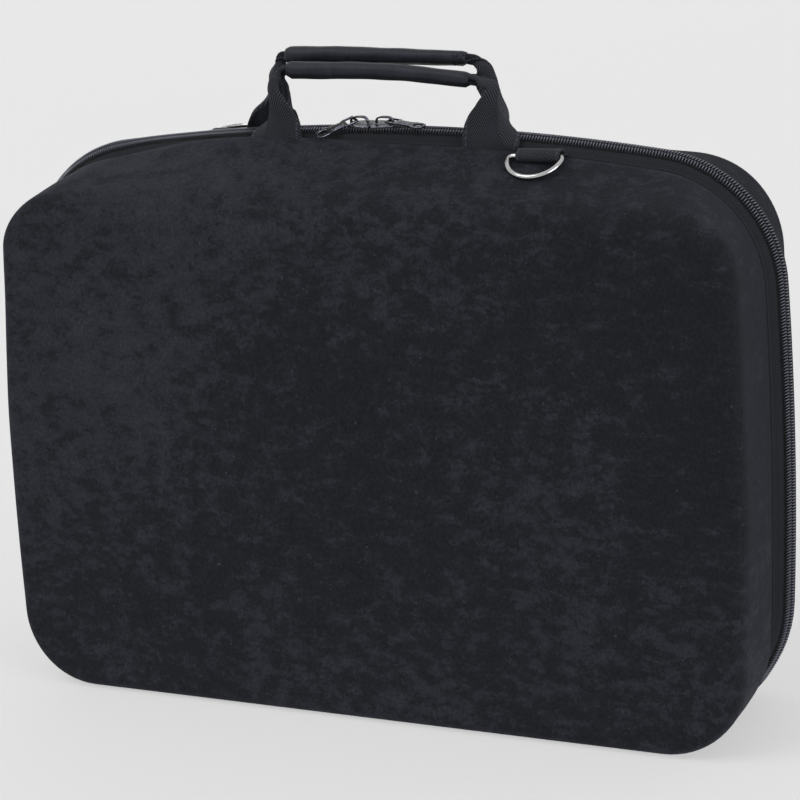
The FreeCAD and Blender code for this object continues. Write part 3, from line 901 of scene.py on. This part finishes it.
def pull(side, turn, droop, roll, lift):
    """A flat pull: an eye round the bail, a waisted bar with a raised panel, and an open loop at its end."""
    outer = twofold([(-0.7, -3.4), (6.2, -3.4), (8.0, -2.5), (14.0, -2.6), (16.6, -3.6), (23.0, -3.6)],
                    (0.6, 1.2, 1.2, 1.5, 1.2, 3.0))
    eye = twofold([(0.75, -2.65), (5.2, -2.65)], 0.6)
    loop = twofold([(16.4, -2.35), (21.8, -2.35)], 2.0)
    panel = twofold([(6.9, -1.5), (14.8, -1.6)], 0.5)
    end = end_name(side)
    made = join(f"{end}_flat_pull", [
        plate("frame", [outer, eye, loop], -0.62, 0.62, 0.3),
        plate("panel", [panel], -0.85, 0.85, 0.25),
    ])
    wear_edges(made)
    made.data.transform(turned(droop, "Y") @ turned(roll, "X"))
    if side < 0:
        mirror(made)
    made.data.transform(SEAT @ moved(side * PULL_BAR_X, 0, PULL_BAR_Z + lift) @ turned(turn, "Z"))
    settle(made, f"{end}_pull", "slider", METAL, f"{end}_pull")


slider(1)
slider(-1)
pull(1, turn=-15.0, droop=6.0, roll=10.0, lift=0.0)
pull(-1, turn=44.0, droop=19.0, roll=18.0, lift=0.65)


# Handles

LEG_THICKNESS = 1.5
LEG_HALF = 15.0
LEG_COLUMNS = 73
LEG_ROWS = 84
LEG_BULGE = 0.85
LEG_SQUEEZE = 0.3
# Width of a leg at shares of its length
LEG_SHARES = (0, 0.16, 0.30, 0.42, 0.54, 0.72, 0.82, 1.0)
LEG_WIDTHS = (28.4, 28.0, 25.5, 20.5, 15.5, 13.0, 8.0, 5.6)
WIDTH_SMOOTHING = 7
FOLD_RADIUS = 1.15
FOLD_ANGLE = math.radians(176)
FOLD_LIFT = 1.7
RIDGE_ANGLE = math.radians(58)
RIDGE_SOFTNESS = 1.4
RIDGE_LOW, RIDGE_HIGH = 8.0, -2.0
CREASE_STEP = 1.7
RIGHT_TWIST, LEFT_TWIST = 34, -30
# How far out each leg lies at its foot, low, middle, upper, bend and turn; a half turn puts
# the rear legs in place
FRONT_LEGS = ((2.0, 3.8, 5.5, 6.0, 4.5, -3.6), (-2.0, -2.2, -2.2, -1.8, -2.4, -5.4))
REAR_LEGS = ((1.8, 4.5, 3.0, 2.2, -3.0, -6.2), (2.0, 7.5, 5.0, 2.0, 0.8, -4.0))
GRIP_SIDES = 48
GRIP_SEAM_TURN = math.radians(262)
GRIP_SEAM_HALF = 0.17
GRIP_SEAM_HEIGHT = 0.7
GRIP_END = 2.2
GRIP_END_TAPER = 0.16


def leg_section(width, bulge, lift, ridge, ridge_at):
    """A strap's section with a crease, its edges folded behind it, and the place across of each point."""
    s = np.linspace(-LEG_HALF, LEG_HALF, LEG_COLUMNS)
    step = s[1] - s[0]
    half = width / 2
    fold_end = half + math.pi * FOLD_RADIUS
    bend = bulge / half * (np.abs(s) < half)
    crease = np.exp(-((s - ridge_at) / RIDGE_SOFTNESS) ** 2)
    bend = bend + ridge / (RIDGE_SOFTNESS * math.sqrt(math.pi)) * crease
    folded = smoothstep(np.abs(s), half - 0.4, half + 0.2)
    folded = folded * (1 - smoothstep(np.abs(s), fold_end - 0.2, fold_end + 0.4))
    bend = bend + FOLD_ANGLE / (math.pi * FOLD_RADIUS) * folded
    angle = np.concatenate([[0], np.cumsum((bend[1:] + bend[:-1]) / 2 * step)])
    angle -= np.interp(ridge_at - 2 * RIDGE_SOFTNESS, s, angle)
    line = np.column_stack([np.cumsum(np.cos(angle)), np.cumsum(np.sin(angle))]) * step
    line -= line[LEG_COLUMNS // 2]
    line[:, 1] += CREASE_STEP * ridge / RIDGE_ANGLE * smoothstep(s, ridge_at - 0.5, ridge_at + 0.5)
    line[:, 1] += lift * smoothstep(s, half + 1.5, half + 5.0)
    normal = np.column_stack([-np.sin(angle), np.cos(angle)])
    points = np.vstack([line + normal * LEG_THICKNESS / 2, (line - normal * LEG_THICKNESS / 2)[::-1]])
    return points, np.concatenate([s, s[::-1]])


def leg(name, side, twist, grip_z, shifts):
    """One end of a handle's strap: flat at the seam, folded to a neck, and turned into the grip."""
    base = rim.height_at(HANDLE_HALF_SPAN)
    rise = grip_z - base
    x = HANDLE_HALF_SPAN
    foot, low, middle, upper, bend, turn = (x + shift for shift in shifts)
    path = smooth_path([
        (foot, -11.6, base - 7), (foot, -11.9, base - 1), (0.7 * foot + 0.3 * low, -13.0, base + 5),
        (low, -13.2, base + 0.34 * rise), (middle, -12.0, base + 0.55 * rise),
        (upper, -10.0, base + 0.76 * rise), (bend, -8.6, base + 0.9 * rise),
        (turn, -GRIP_DEPTH, grip_z - 0.5), (x - 10, -GRIP_DEPTH, grip_z), (x - 16, -GRIP_DEPTH, grip_z)],
        LEG_ROWS)
    path[:, 0] *= side
    wide, thick = frames(path, (side, 0, 0))
    share = np.linspace(0, 1, LEG_ROWS)
    width = np.pad(np.interp(share, LEG_SHARES, LEG_WIDTHS), WIDTH_SMOOTHING // 2, mode="edge")
    width = np.convolve(width, np.ones(WIDTH_SMOOTHING) / WIDTH_SMOOTHING, mode="valid")
    folding = smoothstep(share, 0.25, 0.6)
    bulge = LEG_BULGE * folding
    squeeze = 1 - LEG_SQUEEZE * smoothstep(share, 0.72, 0.84)
    spin = np.radians(twist) * smoothstep(share, 0.2, 0.72)
    ridge = RIDGE_ANGLE * smoothstep(share, 0.14, 0.34) * (1 - smoothstep(share, 0.62, 0.8))
    ridge_at = np.interp(share, (0.14, 0.60), (RIDGE_LOW, RIDGE_HIGH))
    rings, places = [], []
    for i, point in enumerate(path):
        section, across = leg_section(width[i], bulge[i], FOLD_LIFT * folding[i], ridge[i], ridge_at[i])
        section = (section - [0, section[:, 1].mean() * bulge[i]]) * squeeze[i]
        u = wide[i] * math.cos(spin[i]) + thick[i] * math.sin(spin[i])
        v = thick[i] * math.cos(spin[i]) - wide[i] * math.sin(spin[i])
        rings.append(point + u * section[:, :1] + v * side * section[:, 1:])
        places.append(across)
    along = np.tile(lengths(path)[:, None], (1, len(places[0])))
    return skin(name, rings, np.stack([along, np.array(places)], axis=-1))


def grip(side, height, tilt, bow, radii):
    """A rolled grip with a sewn seam along its underside; it tapers from one end to the other."""
    x = np.linspace(-GRIP_HALF, GRIP_HALF, 90)
    rise = bow * np.cos(x / GRIP_HALF * math.pi / 2) + 0.35 * np.sin(x / 17.0 + side)
    path = np.column_stack([x, -GRIP_DEPTH + 0.5 * np.sin(x / 23.0 + 2 * side), height - tilt * x + rise])
    turns = np.linspace(0, 2 * np.pi, GRIP_SIDES, endpoint=False)
    from_seam = np.angle(np.exp(1j * (turns - GRIP_SEAM_TURN)))
    seam = GRIP_SEAM_HEIGHT * np.exp(-(from_seam / GRIP_SEAM_HALF) ** 2)
    around = np.column_stack([np.zeros(GRIP_SIDES), np.cos(turns), np.sin(turns)])
    rings = []
    for point in path:
        along = point[0]
        end = 1 - smoothstep(GRIP_HALF - abs(along), 0, GRIP_END)
        radius = np.interp(along, (-GRIP_HALF, GRIP_HALF), radii) * (1 - GRIP_END_TAPER * end)
        radius = radius + 0.07 * np.sin(turns * 3 + along / 5) + 0.06 * math.sin(along / 3.1)
        radius = radius + seam * (1 - end)
        rings.append(point + around * radius[:, None])
    return skin(f"{half_name(side)}_rolled_grip", rings)


def handle(side, height, tilt, bow, radii, shifts):
    """A handle: two strap legs and a rolled grip."""
    half = half_name(side)
    webbing = join(f"{half}_handle_strap", [
        leg("right_leg", 1, RIGHT_TWIST, height - tilt * GRIP_HALF, shifts[0]),
        leg("left_leg", -1, LEFT_TWIST, height + tilt * GRIP_HALF, shifts[1]),
    ])
    roll = grip(side, height, tilt, bow, radii)
    place = on_half(side, moved(HANDLE_STAGGER, 0, 0))
    webbing.data.transform(place)
    roll.data.transform(place)
    settle(webbing, f"{half}_half", "webbing", WEBBING, f"{half}_handle_webbing")
    settle(roll, f"{half}_half", "grip", LEATHER, f"{half}_handle_grip")


handle(1, height=340.6, tilt=0.0456, bow=1.3, radii=(4.3, 3.7), shifts=FRONT_LEGS)
handle(-1, height=347.45, tilt=-0.0117, bow=1.3, radii=(3.6, 4.7), shifts=REAR_LEGS)


# Strap rings

RING_CORNER = 2.4
RING_ASIDE = -1.6
TAB_LAYER = 1.25
TAB_WIDTH = 23.5
TAB_CLEARANCE = 0.3


def on_slope(shoulder):
    """From the flat onto a shell's top at its ring."""
    drop = rim.height_at(RING_X) - shoulder.height_at(RING_X)
    angle = math.degrees(math.atan2(drop, SHOULDER_DEPTH - RIM_DEPTH))
    return moved(RING_X, -RIM_DEPTH, rim.height_at(RING_X)) @ turned(angle, "X")


def ring_line():
    """The D-ring's line: a straight bar at the origin, round corners and a half-round bow along -Y."""
    turn = np.radians(np.linspace(189, 351, 40))
    bow = np.column_stack([RING_HALF * np.cos(turn), -RING_SIDE + RING_HALF * np.sin(turn)])
    bar_end = RING_HALF - RING_CORNER
    t = np.linspace(0, 1, 7)[1:-1, None]
    corner = (1 - t) ** 2 * [-bar_end, 0] + 2 * t * (1 - t) * [-RING_HALF, 0] + t ** 2 * bow[0]
    bar = np.column_stack([np.linspace(bar_end, -bar_end, 12), np.zeros(12)])
    line = np.vstack([bar, corner, bow, (corner * [-1, 1])[::-1]])
    return np.column_stack([line, np.zeros(len(line))])


def ring_and_tab(side, shoulder, droop):
    """A chrome D-ring, and the folded webbing tab that holds its bar."""
    half = half_name(side)
    place = on_half(side, on_slope(shoulder))
    ring = sweep(f"{half}_chrome_ring", ring_line(), round_section(RING_WIRE, 18), (0, 0, 1), closed=True)
    ring.data.transform(place @ moved(RING_ASIDE, -BAR_REACH, BAR_LIFT) @ turned(droop, "X"))
    settle(ring, f"{half}_d_ring", "ring", CHROME, f"{half}_d_ring")

    reach = RING_WIRE + TAB_CLEARANCE + TAB_LAYER / 2
    turns = np.radians(np.linspace(5, 190, 16))
    hook = np.column_stack([np.zeros(len(turns)), -BAR_REACH - reach * np.sin(turns),
                            BAR_LIFT + reach * np.cos(turns)])
    upper = [(0, 3.2, -1.6), (0, 1.4, 1.4), (0, -1.2, 4.3), (0, -3.8, 6.1)]
    lower = [(0, -3.6, 1.3), (0, -1.0, 0.9), (0, 1.6, -0.6), (0, 3.2, -3.2)]
    path = smooth_path(np.vstack([upper, hook, lower]), 64)
    tab = strap(f"{half}_folded_tab", path, (1, 0, 0), TAB_WIDTH, TAB_LAYER, 14)
    tab.data.transform(place)
    settle(tab, f"{half}_half", "webbing", TAB_WEBBING, f"{half}_ring_tab")


ring_and_tab(1, front_shoulder, droop=2.0)
ring_and_tab(-1, rear_shoulder, droop=-12.0)


# Inside: net pocket with its bound edge, and the hold-down straps

BINDING_HALF = 4.0
BINDING_CORNER = 12.0
NET_PITCH = 4.4
NET_THREAD = 1.5
NET_SWELL = 3.0
HEM_WIDTH = 8.0
HEM_THICKNESS = 1.6
STRAP_X = 95.0
STRAP_RUN = (30.0, 250.0)
LAP_RUN = (105.0, 175.0)
STRAP_WIDTH = 38.0
STRAP_THICKNESS = 1.5
STRAP_SLACK = 1.2


def pocket_binding():
    """The bound edge along the pocket's sides and bottom."""
    side_x, bottom = POCKET_HALF - BINDING_HALF, POCKET_BOTTOM + BINDING_HALF
    corners = [(-side_x, POCKET_TOP), (-side_x, bottom), (side_x, bottom), (side_x, POCKET_TOP)]
    line = rounded(corners, (0.01, BINDING_CORNER, BINDING_CORNER, 0.01), 8)[7:-7]
    path = smooth_path([(x, -(INNER_FACE + POCKET_FACE) / 2, z) for x, z in line], 160)
    section = rounded([(-4, -4.4), (4, -4.4), (4, 4.4), (-4, 4.4)], 1.2)
    settle(sweep("pocket_edge", path, section, (1, 0, 0)), "front_half", "binding", BINDING, "pocket_binding")


def pocket_net():
    """The pocket's net of threads, with its hem."""
    height = POCKET_TOP - POCKET_BOTTOM
    columns, rows = int(2 * POCKET_HALF / NET_PITCH), int(height / NET_PITCH)
    points, faces = [], []
    for row in range(rows + 1):
        for column in range(columns + 1):
            shift = 0.5 * NET_PITCH * (row % 2) * (0 < column < columns)
            x = -POCKET_HALF + 2 * POCKET_HALF * column / columns + shift
            points.append((x, 0, POCKET_BOTTOM + height * row / rows))
    for row in range(rows):
        for column in range(columns):
            a = row * (columns + 1) + column
            faces.append((a, a + 1, a + columns + 2, a + columns + 1))
    points = np.array(points)
    swell = np.cos(points[:, 0] / POCKET_HALF * math.pi / 2)
    swell = swell * np.sin((points[:, 2] - POCKET_BOTTOM) / height * math.pi)
    points[:, 1] = -POCKET_FACE + 0.4 + NET_SWELL * np.clip(swell, 0, 1)
    net = make_object("pocket_net", points, faces)
    wires = net.modifiers.new("threads", "WIREFRAME")
    wires.thickness = NET_THREAD * MM
    wires.use_even_offset = False
    settle(net, "front_half", "net", NET, "mesh_pocket")

    x = np.linspace(-POCKET_HALF, POCKET_HALF, 60)
    hem_line = [(value, -POCKET_FACE + 0.9, POCKET_TOP - HEM_WIDTH / 2) for value in x]
    hem = strap("pocket_hem", hem_line, (0, 0, 1), HEM_WIDTH, HEM_THICKNESS)
    settle(hem, "front_half", "binding", BINDING)


def hold_down(side):
    """A strap sewn to the lining at both ends, lapped on itself in the middle."""
    def layer(name, run, count, lift):
        z = np.linspace(*run, count)
        slack = STRAP_SLACK * np.sin((z - STRAP_RUN[0]) / (STRAP_RUN[1] - STRAP_RUN[0]) * math.pi)
        path = np.column_stack([np.full(count, side * STRAP_X), INNER_FACE - lift - slack, z])
        return strap(name, path, (1, 0, 0), STRAP_WIDTH, STRAP_THICKNESS, 16)

    end = end_name(side)
    lapped = join(f"{end}_lapped_strap", [layer("under", STRAP_RUN, 60, 0.8), layer("lap", LAP_RUN, 30, 2.4)])
    settle(lapped, "rear_half", "webbing", ELASTIC, f"{end}_hold_down_strap")


pocket_binding()
pocket_net()
hold_down(1)
hold_down(-1)


# Floor, light and camera

FLOOR_SHARE = 0.4
FLOOR_Z = -0.05
FLOOR_HALF = 2e4
SKY_LIGHT = 0.62
BACKDROP = 0.83
# Direction, strength and spread in degrees of each broad light
LIGHTS = {"key": ((-0.7, -0.9, 1.3), 0.85, 35), "side": ((1.0, -0.4, 0.1), 1.4, 40),
          "back": ((-0.6, 1.0, 0.02), 0.9, 40)}
# The photo's camera, as fitted: turn, tilt and roll, distance in metres, and the rest in pixels
CAMERA_TURNS = (24.22, 14.28, -2.35)
CAMERA_TARGET = (0, 0, 0.15)
CAMERA_DISTANCE = 1.28739
CAMERA_FOCAL = 2378.38
CAMERA_CENTRE = (391.53, 425.91)
PHOTO_SIZE = 800


def floor():
    """A pale floor that takes the shadow.

    It is partly clear, so that the opened lid shows below it, and clear from below."""
    look = Look("floor", Roughness=0.9, Specular_IOR_Level=0.1)
    material = look.finish(Base_Color=look.ramp(look.noise(0.6, 2.0, 0.5), (0.0, 0.81), (1.0, 0.83)))
    below = look.add("NewGeometry").outputs["Backfacing"]
    mix = look.add("MixShader", Fac=look.spread(below, FLOOR_SHARE, 0.0),
                   _1=look.add("BsdfTransparent").outputs[0], _2=look.shader.outputs[0])
    look.tree.links.new(mix.outputs[0], look.tree.nodes["Material Output"].inputs["Surface"])
    corners = [(-1, -1), (1, -1), (1, 1), (-1, 1)]
    made = make_object("studio_floor", [(x * FLOOR_HALF, y * FLOOR_HALF, FLOOR_Z) for x, y in corners],
                       [(0, 1, 2, 3)])
    made.data.materials.append(material)


def light_world():
    """An even sky, and the pale backdrop that the camera and shiny things see."""
    world = bpy.data.worlds.new("studio")
    bpy.context.scene.world = world
    world.use_nodes = True
    nodes = Nodes(world.node_tree)
    plain = nodes.tree.nodes["Background"]
    plain.inputs["Color"].default_value = (1, 1, 1, 1)
    plain.inputs["Strength"].default_value = SKY_LIGHT
    seen = nodes.add("Background", Color=(BACKDROP, BACKDROP, BACKDROP, 1))
    rays = nodes.add("LightPath").outputs
    either = rays["Is Camera Ray"]
    for kind in ("Is Glossy Ray", "Is Transmission Ray"):
        either = nodes.math("MAXIMUM", either, rays[kind])
    mix = nodes.add("MixShader", Fac=either, _1=plain.outputs[0], _2=seen.outputs[0])
    nodes.tree.links.new(mix.outputs[0], nodes.tree.nodes["World Output"].inputs["Surface"])


def soft_sun(name, towards, strength, spread):
    """A broad, even light from a direction."""
    data = bpy.data.lights.new(name, "SUN")
    data.energy = strength
    data.angle = math.radians(spread)
    link(name, data).rotation_euler = Vector(towards).to_track_quat("Z", "Y").to_euler()


def photo_camera():
    yaw, pitch, roll = (math.radians(value) for value in CAMERA_TURNS)
    back = np.array([math.sin(yaw) * math.cos(pitch), -math.cos(yaw) * math.cos(pitch), math.sin(pitch)])
    right = np.array([math.cos(yaw), math.sin(yaw), 0])
    up = np.cross(back, right)
    right, up = right * math.cos(roll) + up * math.sin(roll), up * math.cos(roll) - right * math.sin(roll)
    data = bpy.data.cameras.new("photo_camera")
    data.sensor_width = 36.0
    data.lens = CAMERA_FOCAL / PHOTO_SIZE * data.sensor_width
    data.shift_x = (PHOTO_SIZE / 2 - CAMERA_CENTRE[0]) / PHOTO_SIZE
    data.shift_y = (CAMERA_CENTRE[1] - PHOTO_SIZE / 2) / PHOTO_SIZE
    made = link("photo_camera", data)
    place = np.array(CAMERA_TARGET) + back * CAMERA_DISTANCE
    rows = [(*row, value) for row, value in zip(np.column_stack([right, up, back]), place)]
    made.matrix_world = Matrix(rows + [(0, 0, 0, 1)])
    bpy.context.scene.camera = made


floor()
light_world()
for light, values in LIGHTS.items():
    soft_sun(light, *values)
photo_camera()
bpy.context.scene.view_settings.view_transform = "Standard"
